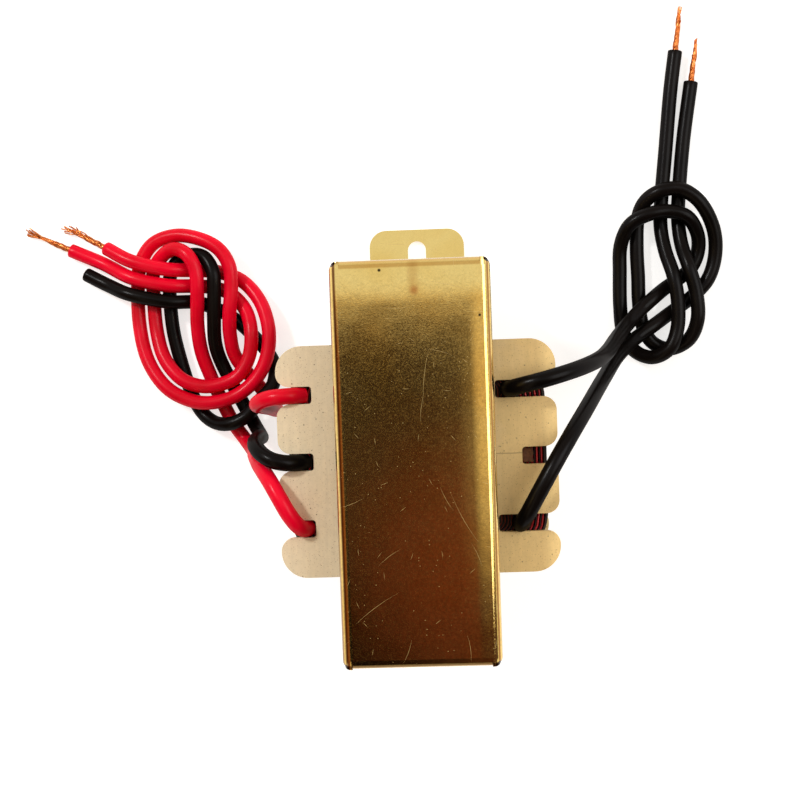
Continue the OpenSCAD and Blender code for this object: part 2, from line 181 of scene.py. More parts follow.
# Dark regrind specks up to 0.26 mm across, brown ones up to 0.18 mm and a fine pale grain of up to
# 0.15 mm, scattered unevenly, as (cells to a metre, rim, share left out, colour)
for cells_per_metre, rim, share, colour in (
        (1000, 0.13, 0.4, "#553618"), (1900, 0.17, 0.36, "#7E5A30"),
        (3200, 0.24, 0.25, "#A88554")):
    specks = add(tree, "TexVoronoi", {"Vector": place, "Scale": cells_per_metre})
    speck_size = add(tree, "MapRange", {
        "Value": specks.outputs["Distance"], "From Min": 0.04, "From Max": rim, "To Min": 1,
        "To Max": 0})
    chosen = add(tree, "MapRange", {
        "Value": specks.outputs["Color"], "From Min": share, "From Max": share + 0.25})
    speck_mask = add(tree, "Math", [speck_size, chosen], operation="MULTIPLY")
    speckled = add(tree, "Mix", {0: speck_mask, 6: speckled, 7: colour}, data_type="RGBA")
# A knit line 0.18 mm wide, where the plastic met again behind the middle notch on the right
knit_bow = add(tree, "Math", [mottle, KNIT_BOW, apart.outputs["Y"]], operation="MULTIPLY_ADD")
knit = add(tree, "Math", [knit_bow, KNIT_BOW, KNIT_HALF], operation="COMPARE")
begun = add(tree, "Math", [apart.outputs["X"], KNIT_START], operation="GREATER_THAN")
not_over = add(tree, "Math", [apart.outputs["X"], KNIT_END], operation="LESS_THAN")
for factor in (begun, not_over, KNIT_DEPTH):
    knit = add(tree, "Math", [knit, factor], operation="MULTIPLY")
speckled = add(tree, "Mix", {0: knit, 6: speckled, 7: "#8A6A3E"}, data_type="RGBA")
skin = add(tree, "TexNoise", {"Vector": place, "Scale": 4000, "Detail": 2})
relief = add(tree, "Math", [flow, skin])
bump = add(tree, "Bump", {"Height": relief, "Strength": 0.16, "Distance": 0.1 * MM})
surface = add(tree, "BsdfPrincipled", {
    "Base Color": speckled, "Normal": bump, "Roughness": 0.5, "IOR": 1.53})
add(tree, "OutputMaterial", {"Surface": surface})

bobbin = softened_copy("bobbin", "bobbin_moulding", 0.2 * MM, nylon)


# ---- Primary and secondary windings ---------------------------------------------------------
# Enamelled copper wire in level layers on the bobbin's tube, with paper between the layers.
# Only the ends of the layers show, as rows of turns, through the notches in the flanges.


def mottled_finish(name, scale, detail, ramp, values):
    """A finish whose colour wanders along the ramp. scale is in patches to a metre, and values
    holds the rest of its surface."""
    made, tree, place = new_finish(name)
    patches = add(tree, "TexNoise", {"Vector": place, "Scale": scale, "Detail": detail})
    colour = add(tree, "ValToRGB", {"Fac": patches}, ramp=ramp)
    surface = add(tree, "BsdfPrincipled", {"Base Color": colour, **values})
    add(tree, "OutputMaterial", {"Surface": surface})
    return made


# Lacquer over bare copper: a metal under a clear coloured film, uneven over about 2.5 mm
enamel_red = mottled_finish(
    "red_polyurethane_enamel_on_copper_wire", 400, 2, [(0.3, "#B01822"), (0.7, "#E2323A")],
    {"Metallic": 0.35, "Roughness": 0.3, "Coat Weight": 0.6, "Coat Roughness": 0.1})
# Darker mains wire, amber enamel over copper
enamel_brown = mottled_finish(
    "brown_polyester_enamel_on_copper_wire", 400, 2, [(0.3, "#6A2A1A"), (0.7, "#8E3F25")],
    {"Metallic": 0.5, "Roughness": 0.3, "Coat Weight": 0.6, "Coat Roughness": 0.1})
# Thin kraft paper soaked in dark varnish, dull, with fibres of about 0.7 mm. Its near-black is
# partly painted shade of the gaps between the rows of turns
paper = mottled_finish(
    "varnished_interlayer_paper", 1500, 4, [(0.3, "#1B1310"), (0.7, "#3A2A22")],
    {"Roughness": 0.6})


def tree_with_inputs(name, wanted):
    """A Geometry Nodes tree with a geometry and the wanted inputs, which are labels by kind, as
    (tree, input node's outputs, identifiers)."""
    made = bpy.data.node_groups.new(name, "GeometryNodeTree")
    for kind, labels in {"Geometry": ["Geometry"], **wanted}.items():
        for label in labels:
            made.interface.new_socket(label, in_out="INPUT", socket_type="NodeSocket" + kind)
    made.interface.new_socket("Geometry", in_out="OUTPUT", socket_type="NodeSocketGeometry")
    identifiers = {s.name: s.identifier for s in made.interface.items_tree if s.in_out == "INPUT"}
    return made, made.nodes.new("NodeGroupInput").outputs, identifiers


def made_by_nodes(name, source, nodes, identifiers, values):
    """Runs a Geometry Nodes tree on a source object and keeps the result as a plain mesh."""
    bpy.context.scene.collection.objects.link(source)
    modifier = source.modifiers.new(name, "NODES")
    modifier.node_group = nodes
    for label, value in values.items():
        modifier[identifiers[label]] = value
    ready = source.evaluated_get(bpy.context.evaluated_depsgraph_get())
    mesh = bpy.data.meshes.new_from_object(ready)
    source.modifiers.clear()
    bpy.data.objects.remove(source)
    return link_piece(name, mesh)


wound, given, wound_ids = tree_with_inputs("wound_layers", {
    "Float": ["Inside X", "Inside Y", "Corner Radius", "Wire", "Layer Pitch", "Layer Bulge",
              "Turn Pitch", "Bottom", "Paper Height", "Paper Thickness"],
    "Int": ["Layers", "Turns"], "Material": ["Wire Material", "Paper Material"]})
# One turn is a rounded rectangle. Its copies step up the coil, and outwards layer by layer.
oblong = add(wound, "GeometryNodeCurvePrimitiveQuadrilateral", {
    "Width": given["Inside X"], "Height": given["Inside Y"]})
turn = add(wound, "GeometryNodeFilletCurve", {
    "Curve": oblong, "Radius": given["Corner Radius"], "Count": 6}, mode="POLY")
tangent = add(wound, "GeometryNodeInputTangent")
position = add(wound, "GeometryNodeInputPosition")
sideways = add(wound, "VectorMath", [tangent, (0, 0, 1)], operation="CROSS_PRODUCT")
side = add(wound, "VectorMath", [sideways, position], operation="DOT_PRODUCT")
side_sign = add(wound, "Math", [side], operation="SIGN")
outwards = add(wound, "VectorMath", {0: sideways, "Scale": side_sign}, operation="SCALE")
across = add(wound, "SeparateXYZ", [outwards])
swelling = add(wound, "CombineXYZ", {"X": across.outputs["X"]})
total = add(wound, "Math", [given["Layers"], given["Turns"]], operation="MULTIPLY")
half_wire = add(wound, "Math", [given["Wire"], 0.5], operation="MULTIPLY")
parts = {}
# Wire lies in the middle of its layer and the paper on top of it
for part, amount, first in (("wire", total, 0.5), ("paper", given["Layers"], 1.0)):
    copies = add(wound, "GeometryNodeDuplicateElements", {
        "Geometry": turn, "Amount": amount}, domain="SPLINE")
    index = copies.outputs["Duplicate Index"]
    per_layer = given["Turns"] if part == "wire" else 1
    layer_share = add(wound, "Math", [index, per_layer], operation="DIVIDE")
    layer = add(wound, "Math", [layer_share], operation="FLOOR")
    from_tube = add(wound, "Math", [layer, first])
    out = add(wound, "Math", [from_tube, given["Layer Pitch"]], operation="MULTIPLY")
    grow = add(wound, "Math", [from_tube, given["Layer Bulge"]], operation="MULTIPLY")
    move_out = add(wound, "VectorMath", {0: outwards, "Scale": out}, operation="SCALE")
    move_bulge = add(wound, "VectorMath", {0: swelling, "Scale": grow}, operation="SCALE")
    move = add(wound, "VectorMath", [move_out, move_bulge])
    if part == "wire":
        row = add(wound, "Math", [index, given["Turns"]], operation="MODULO")
        # Each layer lies in the grooves of the one below it, about a third of a turn up or down
        odd = add(wound, "Math", [layer, 2.0], operation="MODULO")
        shift = add(wound, "Math", [odd, 0.35, 0.5], operation="MULTIPLY_ADD")
        row_up = add(wound, "Math", [row, shift])
        height = add(wound, "Math", [
            row_up, given["Turn Pitch"], given["Bottom"]], operation="MULTIPLY_ADD")
        profile = add(wound, "GeometryNodeCurvePrimitiveCircle", {
            "Resolution": 6, "Radius": half_wire})
    else:
        height = add(
            wound, "Math", [given["Paper Height"], 0.5, given["Bottom"]], operation="MULTIPLY_ADD")
        profile = add(wound, "GeometryNodeCurvePrimitiveQuadrilateral", {
            "Width": given["Paper Thickness"], "Height": given["Paper Height"]})
    lift = add(wound, "CombineXYZ", {"Z": height})
    offset = add(wound, "VectorMath", [move, lift])
    placed = add(wound, "GeometryNodeSetPosition", {"Geometry": copies, "Offset": offset})
    swept = add(wound, "GeometryNodeCurveToMesh", {"Curve": placed, "Profile Curve": profile})
    parts[part] = add(wound, "GeometryNodeSetShadeSmooth", {
        "Geometry": swept, "Shade Smooth": part == "wire"})
joined = add(wound, "GeometryNodeJoinGeometry")
for part in ("paper", "wire"):
    real = add(wound, "GeometryNodeRealizeInstances", {"Geometry": parts[part]})
    painted = add(wound, "GeometryNodeSetMaterial", {
        "Geometry": real, "Material": given[part.title() + " Material"]})
    wound.links.new(painted.outputs[0], joined.inputs[0])
add(wound, "NodeGroupOutput", [joined])

COIL_LOW, COIL_HIGH = 12.06 * MM, 37.76 * MM
COIL_HEIGHT = COIL_HIGH - COIL_LOW
# Sizes in millimetres, where inside is the tightest turn's width, depth and corner radius
windings = {
    "primary_winding": dict(
        inside=(23.46, 21.46, 0.83), wire=0.3, layers=7, pitch=0.4, bulge=0.114,
        turns=64, enamel=enamel_brown, slot="enamelled_copper"),
    "secondary_winding": dict(
        inside=(31.26, 27.66, 4.73), wire=0.42, layers=5, pitch=0.56, bulge=0.16,
        turns=50, enamel=enamel_red, slot="red_enamelled_copper"),
}
for node_name, size in windings.items():
    start = bpy.data.objects.new("start", bpy.data.meshes.new("start"))
    inside_x, inside_y, corner = (value * MM for value in size["inside"])
    coil = made_by_nodes(node_name + "_turns", start, wound, wound_ids, {
        "Inside X": inside_x, "Inside Y": inside_y, "Corner Radius": corner,
        "Wire": size["wire"] * MM, "Layer Pitch": size["pitch"] * MM,
        "Layer Bulge": size["bulge"] * MM, "Layers": size["layers"], "Turns": size["turns"],
        "Turn Pitch": COIL_HEIGHT / (size["turns"] + 1), "Bottom": COIL_LOW,
        "Paper Height": COIL_HEIGHT - 0.02 * MM, "Paper Thickness": 0.06 * MM,
        "Wire Material": size["enamel"], "Paper Material": paper})
    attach(coil, ROOT)
    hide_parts(node_name)

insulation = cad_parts["winding_insulation"]
insulation.data.materials.clear()
insulation.data.materials.append(paper)

# Unvarnished end of the paper: mid brown, with fibres of about 0.4 mm
kraft = mottled_finish(
    "brown_kraft_paper", 2500, 3, [(0.3, "#4A2A18"), (0.7, "#74492C")], {"Roughness": 0.75})
# The end lies on the edges of the layers at the inner end of the middle notch, and curls a little
TAB_LENGTH, TAB_WIDTH, TAB_THICK = 1.55 * MM, 2.2 * MM, 0.08 * MM
TAB_CURL, TAB_RAGGED, TAB_WAVES = 0.25 * MM, 0.12 * MM, 11
TAB_START, TAB_BOTTOM = NOTCH_END + 0.08 * MM, COIL_HIGH + 0.06 * MM
shape = bmesh.new()
bmesh.ops.create_grid(shape, x_segments=8, y_segments=6, size=0.5)
for vert in shape.verts:
    share_x, share_y = vert.co.x + 0.5, vert.co.y
    ragged = TAB_RAGGED * math.sin(TAB_WAVES * share_y) * share_x
    vert.co = (TAB_START + TAB_LENGTH * share_x + ragged, TAB_WIDTH * share_y,
               TAB_BOTTOM + TAB_CURL * share_x ** 3 * (1 + share_y))
insulation_end = piece_from(shape, "insulation_end", kraft)
insulation_end.modifiers.new("sheet", "SOLIDIFY").thickness = TAB_THICK
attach(insulation_end, ROOT)


# ---- Coil wrap ------------------------------------------------------------------------------
# Dark polyester tape wound a little over twice round the finished coil, to hold and insulate it.
# The thin film follows the turns below it, and its end is a straight cut edge.

TAPE_TURNS = 2.3
TAPE_PITCH = 0.17 * MM
TAPE_THICK = 0.13 * MM
TAPE_HALF = Vector((19.23, 16.63)) * MM
TAPE_CORNER = 8.3 * MM
TAPE_STEPS = 110
TAPE_INSET = 0.1 * MM
# The winding starts this share of the way round, and its last bit stands off a little
TAPE_START, TAPE_LOOSE, TAPE_LIFT = 0.62, 0.02, 0.06 * MM


def on_rounded_oblong(share, half, corner):
    """A point on a rounded rectangle and its outward direction, a share of the way round it."""
    x, y, arc = half.x - corner, half.y - corner, math.pi / 2 * corner
    centres = [Vector(c) for c in ((x, -y), (x, y), (-x, y), (-x, -y), (x, -y))]
    left = (share % 1) * 4 * (x + y + arc)
    for quarter, (last, centre) in enumerate(zip(centres, centres[1:])):
        flat = (centre - last).length
        if left <= flat + arc:
            break
        left -= flat + arc
    angle = quarter * math.pi / 2 + max(0.0, left - flat) / corner
    outward = Vector((math.cos(angle), math.sin(angle)))
    return last.lerp(centre, min(1.0, left / flat)) + outward * corner, outward


tape, tree, place = new_finish("dark_polyester_film_tape")
# Glossy thin film, drawn tight, so the turns below it show as faint ridges 0.51 mm apart
ridge_place = add(tree, "Mapping", {"Vector": place, "Scale": (20, 20, 1)})
ridges = add(tree, "TexWave", {
    "Vector": ridge_place, "Scale": 612, "Distortion": 0.6, "Detail": 1}, bands_direction="Z")
creases = add(tree, "TexNoise", {"Vector": place, "Scale": 260, "Detail": 3})
height = add(tree, "Math", [creases, 2.5, ridges.outputs["Fac"]], operation="MULTIPLY_ADD")
bump = add(tree, "Bump", {"Height": height, "Strength": 0.35, "Distance": 0.08 * MM})
film = add(tree, "ValToRGB", {"Fac": creases}, ramp=[(0.3, "#191413"), (0.7, "#2A211E")])
surface = add(tree, "BsdfPrincipled", {
    "Base Color": film, "Normal": bump, "Roughness": 0.3, "IOR": 1.64})
add(tree, "OutputMaterial", {"Surface": surface})

shape = bmesh.new()
columns = []
for k in range(int(TAPE_TURNS * TAPE_STEPS) + 1):
    turns = k / TAPE_STEPS
    point, outward = on_rounded_oblong(turns + TAPE_START, TAPE_HALF, TAPE_CORNER)
    lifted = TAPE_LIFT * max(0.0, turns - TAPE_TURNS + TAPE_LOOSE) / TAPE_LOOSE
    column = []
    for z in (COIL_LOW + TAPE_INSET, COIL_HIGH - TAPE_INSET):
        inner = point + outward * (turns * TAPE_PITCH + lifted)
        outer = inner + outward * TAPE_THICK
        column.append([shape.verts.new((*p, z)) for p in (inner, outer)])
    columns.append(column)
for (low_a, high_a), (low_b, high_b) in zip(columns, columns[1:]):
    shape.faces.new((low_a[1], low_b[1], high_b[1], high_a[1]))
    shape.faces.new((high_a[0], high_b[0], low_b[0], low_a[0]))
    shape.faces.new((high_a[1], high_b[1], high_b[0], high_a[0]))
    shape.faces.new((low_a[0], low_b[0], low_b[1], low_a[1]))
for (low, high), order in ((columns[0], 1), (columns[-1], -1)):
    shape.faces.new((low[0], low[1], high[1], high[0])[::order])
bmesh.ops.recalc_face_normals(shape, faces=shape.faces)
wrap = piece_from(shape, "coil_tape_wrap", tape, sharp_from=40)
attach(wrap, ROOT)
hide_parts("coil_wrap")


# ---- Leads ----------------------------------------------------------------------------------
# Stranded flexible leads in PVC: red, black and red from the secondary, two black ones from the
# primary. Each comes up through a notch, bends over the flange, and both sets are knotted.

LEAD_D = 2.5 * MM
BORE_D = 1.35 * MM
LEAD_SIDES = 18
CUT_ROUND, BORE_DEPTH = 0.2 * MM, 1.5 * MM
STANDING_RINGS = 12


def smooth_line(points, steps=6):
    """A smooth line in metres through points in millimetres."""
    p = [Vector(q) * MM for q in points]
    p = [2 * p[0] - p[1], *p, 2 * p[-1] - p[-2]]
    line = []
    for a, b, c, d in zip(p, p[1:], p[2:], p[3:]):
        for k in range(steps):
            t = k / steps
            line.append(b + 0.5 * t * ((c - a) + t * ((2 * a - 5 * b + 4 * c - d)
                                                      + t * (3 * (b - c) + d - a))))
    return line + [p[-2]]


def lead_tube(name, line, material):
    """The insulation: a tube along the line that stands flat on the coil, with a clean cut and a
    bore at its far end."""
    end, way = line[-1], (line[-1] - line[-2]).normalized()
    radius, bore = LEAD_D / 2, BORE_D / 2
    stations = [(p, radius) for p in line[:-1]]
    halfway = 0.3 * CUT_ROUND
    stations += [(end - way * CUT_ROUND, radius), (end - way * halfway, radius - halfway),
                 (end, radius - CUT_ROUND), (end, bore), (end - way * BORE_DEPTH, bore)]
    shape = bmesh.new()
    layer = shape.loops.layers.uv.new("along_the_lead")
    rings, lengths, normal, run = [], [], Vector((0, 1, 0)), 0.0
    for i, (p, r) in enumerate(stations):
        t = way
        if i < len(line) - 1:
            t = (stations[i + 1][0] - stations[max(i - 1, 0)][0]).normalized()
        normal = (normal - normal.dot(t) * t).normalized()
        binormal = t.cross(normal)
        ring = []
        for k in range(LEAD_SIDES):
            a = 2 * math.pi * k / LEAD_SIDES
            spot = p + r * (math.cos(a) * normal + math.sin(a) * binormal)
            if i < STANDING_RINGS:
                spot.z = max(spot.z, line[0].z)
            ring.append(shape.verts.new(spot))
        rings.append(ring)
        run += (p - stations[i - 1][0]).length if i else 0.0
        lengths.append(run)
    for i in range(len(rings) - 1):
        for k in range(LEAD_SIDES):
            n = (k + 1) % LEAD_SIDES
            face = shape.faces.new((rings[i][k], rings[i][n], rings[i + 1][n], rings[i + 1][k]))
            marks = ((k, i), (k + 1, i), (k + 1, i + 1), (k, i + 1))
            for loop, (side, station) in zip(face.loops, marks):
                loop[layer].uv = (side / LEAD_SIDES, lengths[station])
    shape.faces.new(rings[0][::-1])
    shape.faces.new(rings[-1])
    return piece_from(shape, name, material, sharp_from=50)


pvc = {}
for name, colours, roughness, film in (
        ("red_flexible_pvc_extrusion", ("#C8001A", "#E4042A"), 0.42, 0.28),
        ("black_flexible_pvc_extrusion", ("#070504", "#100C0A"), 0.36, 0.17)):
    finish, tree, place = new_finish(name)
    # Soft PVC with a satin skin: the die leaves faint lines along it, and handling dulls it. Only
    # a thin greasy film shines, broadly and weakly, so steep drops mirror little of the floor
    around = add(tree, "UVMap", uv_map="along_the_lead")
    die_place = add(tree, "Mapping", {"Vector": around, "Scale": (30, 60, 1)})
    die_lines = add(tree, "TexNoise", {"Vector": die_place, "Scale": 1, "Detail": 2})
    cloud = add(tree, "TexNoise", {"Vector": place, "Scale": 150, "Detail": 3})
    body = add(tree, "ValToRGB", {"Fac": cloud}, ramp=[(0.3, colours[0]), (0.7, colours[1])])
    dull = add(tree, "MapRange", {
        "Value": cloud, "From Min": 0.3, "From Max": 0.7, "To Min": roughness - 0.05,
        "To Max": roughness + 0.08})
    skin = add(tree, "TexNoise", {"Vector": place, "Scale": 2500, "Detail": 2})
    relief = add(tree, "Math", [skin, 0.4, die_lines], operation="MULTIPLY_ADD")
    bump = add(tree, "Bump", {"Height": relief, "Strength": 0.12, "Distance": 0.05 * MM})
    surface = add(tree, "BsdfPrincipled", {
        "Base Color": body, "Roughness": dull, "Normal": bump, "IOR": 1.53,
        "Specular IOR Level": 0.0, "Coat Weight": film, "Coat Roughness": 0.28})
    add(tree, "OutputMaterial", {"Surface": surface})
    pvc[name.split("_")[0]] = finish

leads = {
    "secondary_lead_top": ("red", [
        (-17.2, 10.2, 37.8), (-18.7, 10.2, 39), (-20.5, 10.1, 39.4), (-22.3, 9.9, 39),
        (-23.7, 9.5, 37.9), (-24.5, 9.1, 36.2), (-24.9, 8.7, 32.5), (-25.2, 7.8, 19),
        (-25.4, 7.1, 9.8), (-25.6, 6.9, 6.3), (-26, 7.3, 3.4), (-27.1, 8.6, 1.7),
        (-28.8, 10.7, 1.3), (-32.9, 16, 1.5), (-33.7, 20, 2.9), (-33.5, 24, 4.3), (-33, 28.5, 4.4),
        (-33.2, 32.6, 4.5), (-35.2, 35.8, 4.2), (-38.8, 37.7, 3.5), (-43, 38.4, 2.5),
        (-47.1, 37.2, 1.7), (-49.6, 33.8, 1.4), (-50.3, 29.3, 1.3), (-50.2, 22.5, 1.5),
        (-48.7, 16.3, 2.6), (-45.4, 11.5, 3.9), (-41.1, 9, 4.3), (-36.8, 8.5, 4.4),
        (-32.4, 9.8, 4.3), (-28.9, 12.8, 4.3), (-27, 16.8, 4.2), (-26.7, 21.4, 3.8),
        (-28.2, 26.2, 2.8), (-31.5, 30, 1.5), (-36, 31.8, 1.4), (-40, 32.1, 2.6),
        (-44.6, 32.4, 4.5), (-50.6, 34, 4.4), (-55.4, 36.6, 2.9)]),
    "centre_tap_lead": ("black", [
        (-17.2, 0, 37.8), (-18.4, 0, 39.3), (-20.2, 0.1, 40.2), (-22.1, 0.6, 40.3),
        (-23.7, 1.5, 39.4), (-24.7, 2.4, 37.8), (-25.2, 3, 35.4), (-25.6, 3.3, 30), (-26.8, 3, 18),
        (-27.9, 2.3, 9.5), (-28.6, 2.3, 4.7), (-30, 4, 1.8), (-31.7, 7.2, 1.3), (-35.4, 14.8, 1.5),
        (-36.5, 19, 2.6), (-36.3, 23.5, 4.1), (-36, 28.5, 4.6), (-36.1, 31.6, 4.6),
        (-37.6, 34.2, 3.8), (-40, 34.9, 2.5), (-42.6, 34.2, 1.6), (-44.3, 31.6, 1.3),
        (-44.6, 28, 1.3), (-44.2, 21.5, 1.3), (-42.9, 15.4, 1.3), (-41.4, 10.4, 1.3),
        (-39.7, 6.9, 1.4), (-37.2, 4.9, 2.6), (-34.2, 4.6, 4.2), (-31.2, 5.8, 4.6),
        (-28.9, 8.3, 4.7), (-26.3, 11.3, 3.6), (-26.3, 15.2, 1.6), (-29.2, 19.4, 1.3),
        (-33.6, 23.6, 1.3), (-39.2, 26.3, 2), (-44.4, 26.6, 4.1), (-51, 28.1, 4.2),
        (-55.4, 30, 2.2), (-59.6, 32.2, 1.3)]),
    "secondary_lead_bottom": ("red", [
        (-17.2, -10.2, 37.8), (-17.7, -10.1, 39.4), (-18.5, -9.3, 40.9), (-19.7, -7.4, 41.8),
        (-21, -5, 41.7), (-22.5, -2.6, 40.4), (-23.9, -1.1, 37.6), (-25.2, -0.3, 33),
        (-27.6, 0, 20), (-29.2, -0.3, 9.5), (-30.2, -0.2, 4.4), (-31.9, 1.6, 1.7), (-34, 4.6, 1.3),
        (-36, 8.8, 1.3), (-37.7, 13, 1.4), (-39.1, 17.6, 2.2), (-39.3, 22.5, 4), (-38.9, 28, 5.2),
        (-39, 31.8, 5.5), (-40.4, 34.7, 5.4), (-43, 35.9, 4.1), (-45.7, 34.6, 2.4),
        (-47.4, 31.9, 1.4), (-47.5, 28, 1.3), (-47.2, 22, 1.5), (-45.8, 16.9, 2.8),
        (-43, 13.2, 3.9), (-39.7, 11.6, 4.3), (-36.4, 11.5, 4.4), (-32.6, 12.9, 4.4),
        (-30.3, 16.4, 4.3), (-29.8, 20.8, 4), (-30.8, 24.6, 2.6), (-33.4, 27.6, 1.4),
        (-36.5, 28.9, 1.5), (-39.5, 29.3, 2.2), (-44.4, 29.5, 4.1), (-50.6, 31, 4.1),
        (-56, 33.8, 2), (-62.2, 36.6, 1.3)]),
    "primary_lead_top": ("black", [
        (14, 10.2, 37.8), (14.2, 10.2, 39.8), (15.4, 10.6, 42), (18.4, 11.3, 43.2),
        (22, 12.2, 42.4), (25.6, 13.2, 39.2), (28.5, 14.2, 33.5), (30.8, 15.4, 25), (33, 17, 15.5),
        (35.6, 19.2, 8.2), (38.6, 22, 4.7), (41, 24, 3.6), (43.3, 25.7, 1.8), (45.6, 27.2, 1.3),
        (48.2, 29.2, 1.3), (49.6, 32.2, 1.4), (49.4, 35.4, 2.3), (47.4, 38.2, 4), (44, 39.2, 4.3),
        (40.5, 38.7, 4.6), (37.4, 37, 3.8), (36, 33.6, 1.9), (35.8, 29, 1.3), (35.7, 23, 1.3),
        (36.1, 18.4, 1.3), (37.8, 15.2, 1.6), (40.8, 13.8, 2.8), (43.7, 15.2, 4.2),
        (45.2, 18.8, 4.3), (45.4, 23.5, 4.3), (44.8, 28, 4), (43.7, 32.5, 2.4), (43.2, 37, 1.3),
        (43.5, 42, 1.3), (44.4, 50, 1.3), (45.5, 60, 1.3), (46.6, 67.5, 1.3)]),
    "primary_lead_bottom": ("black", [
        (15.2, -10.2, 37.8), (15.3, -10.2, 39.8), (16.2, -8.5, 42.2), (18.2, -4.8, 43.4),
        (20.8, -0.4, 43), (23.4, 3.4, 40.5), (26, 6.6, 35.5), (28.6, 9.4, 28), (31.2, 11.8, 19),
        (34, 14.4, 10.5), (37.4, 17, 5.4), (40.8, 19.2, 4), (44.2, 21.4, 1.9), (48, 24, 1.3),
        (51.2, 27.2, 1.3), (52.6, 31.6, 1.5), (52.2, 36.2, 2.4), (49.8, 40.6, 3.8),
        (46.4, 43, 4.1), (43, 42.8, 4.1), (40.4, 41.2, 2.9), (39.2, 38.2, 1.4), (38.9, 33, 1.3),
        (39, 28, 1.3), (39, 24, 1.3), (39.4, 20, 1.3), (41, 16.6, 1.3), (44.2, 15.2, 1.4),
        (47.4, 16.8, 2.9), (48.8, 20.4, 4.1), (48.6, 25, 4.2), (47.5, 29.5, 3.9),
        (46.6, 33.5, 2.3), (46.3, 38, 1.3), (46.6, 43, 1.3), (47.6, 52, 1.3), (49.2, 62, 1.3)]),
}
lines, tubes = {}, {}
for node_name, (colour, points) in leads.items():
    lines[node_name] = smooth_line(points)
    tubes[node_name] = lead_tube(node_name + "_pvc", lines[node_name], pvc[colour])
    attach(tubes[node_name], ROOT)
    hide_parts(node_name)


# ---- Bare ends ------------------------------------------------------------------------------
# Where the insulation is stripped back the fine copper strands are twisted together by hand.
# They taper towards the tip, and a few strands stand off the bundle.

# Soft bright copper, tarnished to brown in patches of about half a millimetre
copper = mottled_finish(
    "bare_annealed_copper_strands", 1800, 3,
    [(0.35, "#A8501F"), (0.6, "#E08A4A"), (0.75, "#F6B978")], {"Metallic": 1.0, "Roughness": 0.28})

GOLDEN_ANGLE = 2.39996
LAY_LENGTH = 5.5
INSIDE_LEAD = 1.3 * MM
twisted, given, twisted_ids = tree_with_inputs("twisted_strands", {
    "Float": ["Strand Radius", "Bundle Radius", "Tip Share", "Twists", "Fray"],
    "Int": ["Strands", "Seed"], "Material": ["Material"]})
# Each strand is a copy of the middle line, turned about it like a rope and drawn in at the tip
fine = add(twisted, "GeometryNodeResampleCurve", {"Curve": given["Geometry"], "Count": 40})
copies = add(twisted, "GeometryNodeDuplicateElements", {
    "Geometry": fine, "Amount": given["Strands"]}, domain="SPLINE")
index = copies.outputs["Duplicate Index"]
along = add(twisted, "GeometryNodeSplineParameter")
share = add(twisted, "Math", [index, given["Strands"]], operation="DIVIDE")
spread = add(twisted, "Math", [share], operation="SQRT")
draw_in = add(twisted, "MapRange", {
    "Value": along, "From Min": 0.15, "From Max": 1, "To Min": 1, "To Max": given["Tip Share"]})
reach = add(twisted, "Math", [spread, draw_in], operation="MULTIPLY")
radius = add(twisted, "Math", [reach, given["Bundle Radius"]], operation="MULTIPLY")
golden = add(twisted, "Math", [index, GOLDEN_ANGLE], operation="MULTIPLY")
lay = add(twisted, "Math", [along, given["Twists"]], operation="MULTIPLY")
turned = add(twisted, "Math", [lay, 2 * math.pi, golden], operation="MULTIPLY_ADD")
cosine = add(twisted, "Math", [turned], operation="COSINE")
sine = add(twisted, "Math", [turned], operation="SINE")
normal = add(twisted, "GeometryNodeInputNormal")
tangent = add(twisted, "GeometryNodeInputTangent")
binormal = add(twisted, "VectorMath", [tangent, normal], operation="CROSS_PRODUCT")
to_side = add(twisted, "VectorMath", {0: normal, "Scale": cosine}, operation="SCALE")
to_top = add(twisted, "VectorMath", {0: binormal, "Scale": sine}, operation="SCALE")
round_it = add(twisted, "VectorMath", [to_side, to_top])
off_middle = add(twisted, "VectorMath", {0: round_it, "Scale": radius}, operation="SCALE")
stray = add(twisted, "FunctionNodeRandomValue", {
    0: (-1, -1, -0.2), 1: (1, 1, 1), 7: index, 8: given["Seed"]}, data_type="FLOAT_VECTOR")
loose = add(twisted, "Math", [along, 2.5], operation="POWER")
stray_by = add(twisted, "Math", [loose, given["Fray"]], operation="MULTIPLY")
stray_off = add(twisted, "VectorMath", {0: stray, "Scale": stray_by}, operation="SCALE")
offset = add(twisted, "VectorMath", [off_middle, stray_off])
placed = add(twisted, "GeometryNodeSetPosition", {"Geometry": copies, "Offset": offset})
cut_at = add(twisted, "FunctionNodeRandomValue", {
    2: 0.72, 3: 1.0, 7: index, 8: given["Seed"]}, data_type="FLOAT")
cut = add(twisted, "GeometryNodeTrimCurve", {"Curve": placed, "End": cut_at})
profile = add(twisted, "GeometryNodeCurvePrimitiveCircle", {
    "Resolution": 6, "Radius": given["Strand Radius"]})
swept = add(twisted, "GeometryNodeCurveToMesh", {
    "Curve": cut, "Profile Curve": profile, "Fill Caps": True})
shaded = add(twisted, "GeometryNodeSetShadeSmooth", {"Geometry": swept})
real = add(twisted, "GeometryNodeRealizeInstances", {"Geometry": shaded})
painted = add(twisted, "GeometryNodeSetMaterial", {
    "Geometry": real, "Material": given["Material"]})
add(twisted, "NodeGroupOutput", [painted])

